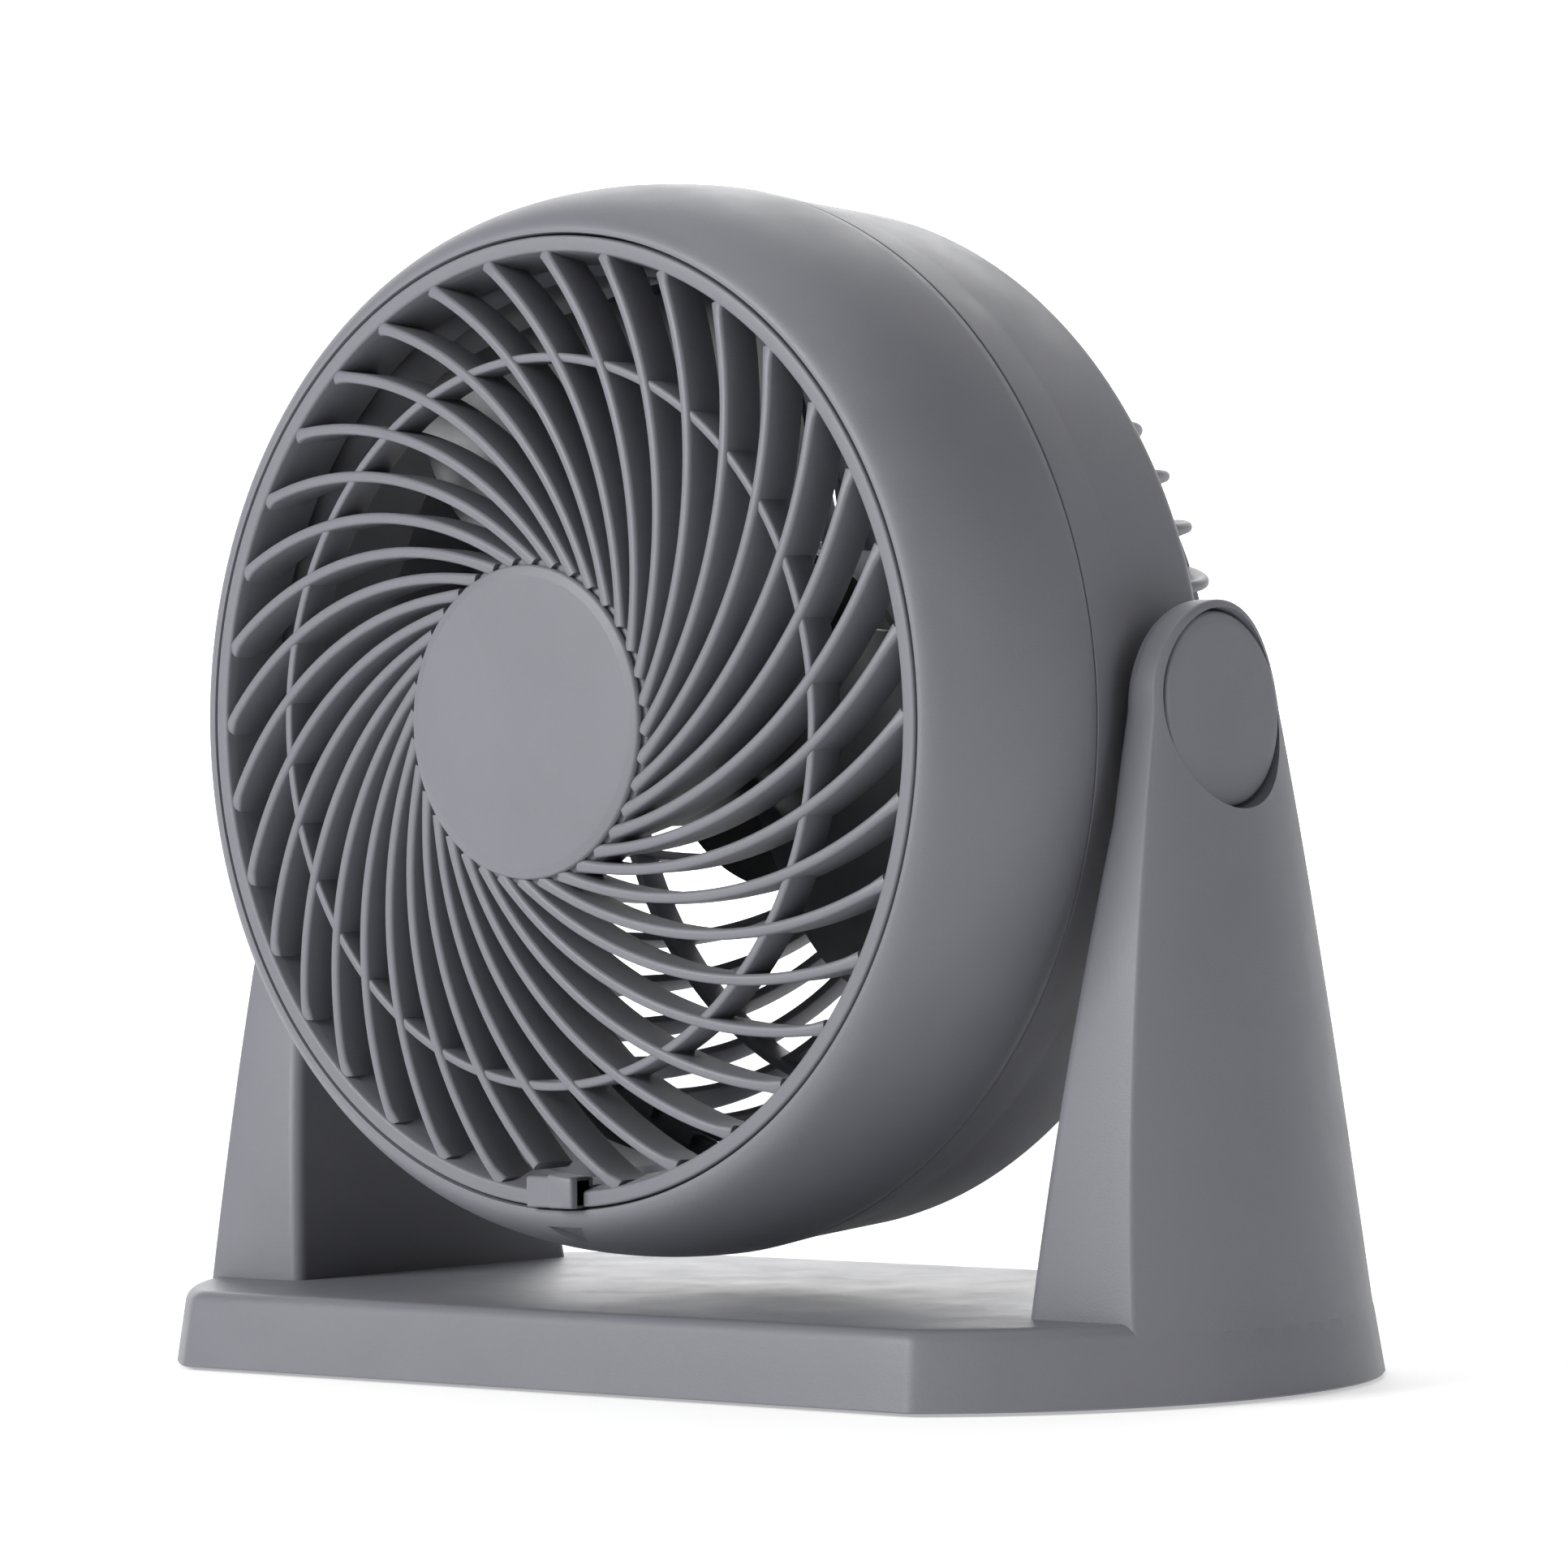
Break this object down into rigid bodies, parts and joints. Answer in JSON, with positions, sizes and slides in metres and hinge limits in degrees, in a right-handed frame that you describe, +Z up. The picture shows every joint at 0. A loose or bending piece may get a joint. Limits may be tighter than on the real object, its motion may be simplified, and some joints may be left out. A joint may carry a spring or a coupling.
{
  "type": "desk fan",
  "caption": "Round desk fan with a spiral front grille and a dished rear guard, held between the two arms of an oval stand; the head tilts and a rear knob sets the speed.",
  "frame": {"origin": "middle of the underside, on the table", "axes": "X to the right seen from the front, the fan blows towards -Y, Z up"},
  "size_m": [0.3232, 0.163, 0.2817],
  "materials": {
    "body_plastic": "fine moulded texture",
    "dark_plastic": "smooth moulded",
    "pale_plastic": "smooth moulded",
    "rubber": "soft",
    "plated_steel": "zinc plated",
    "lamination_steel": "varnished stack",
    "copper_wire": "enamelled copper",
    "bronze": "sintered bronze"
  },
  "bodies": {
    "stand": {"stand": "body_plastic", "rubber_feet": "rubber", "pivot_cap_left": "body_plastic", "pivot_cap_right": "body_plastic"},
    "head": {"front_housing": "body_plastic", "rear_housing": "body_plastic", "rear_grille": "body_plastic", "pivot_screws": "plated_steel", "friction_washers": "rubber", "housing_screws": "plated_steel", "stator_core": "lamination_steel", "coil_bobbin": "pale_plastic", "coil_winding": "copper_wire", "shading_rings": "copper_wire", "front_bridge": "plated_steel", "rear_bridge": "plated_steel", "front_bearing": "bronze", "rear_bearing": "bronze", "motor_studs": "plated_steel", "motor_mount_screws": "plated_steel", "pod_cover": "dark_plastic", "switch_body": "dark_plastic", "switch_nut": "plated_steel", "cord_gland": "rubber", "lead_wires": "dark_plastic"},
    "rotor": {"impeller": "dark_plastic", "impeller_nut": "dark_plastic", "motor_shaft": "plated_steel", "rotor_core": "lamination_steel"},
    "knob": {"speed_knob": "dark_plastic", "switch_spindle": "plated_steel"},
    "grille": {"front_grille": "body_plastic", "hub_badge": "body_plastic"},
    "latch": {"latch_tab": "body_plastic"}
  },
  "joints": [
    {"name": "head_tilt", "type": "hinge", "parent": "stand", "child": "head", "pos_m": [0, 0.0062, 0.155], "axis": [-1, 0, 0], "range_deg": [-12, 90]},
    {"name": "rotor_spin", "type": "hinge", "parent": "head", "child": "rotor", "pos_m": [0, 0.0062, 0.155], "axis": [0, -1, 0], "continuous": true},
    {"name": "knob_turn", "type": "hinge", "parent": "head", "child": "knob", "pos_m": [0, 0.0692, 0.155], "axis": [0, 1, 0], "range_deg": [0, 135]},
    {"name": "grille_turn", "type": "hinge", "parent": "head", "child": "grille", "pos_m": [0, -0.0705, 0.155], "axis": [0, -1, 0], "range_deg": [0, 12]},
    {"name": "latch_press", "type": "slide", "parent": "grille", "child": "latch", "axis": [0, 1, 0], "range_m": [0, 0.0008], "stiffness_N_per_m": 1500}
  ]
}
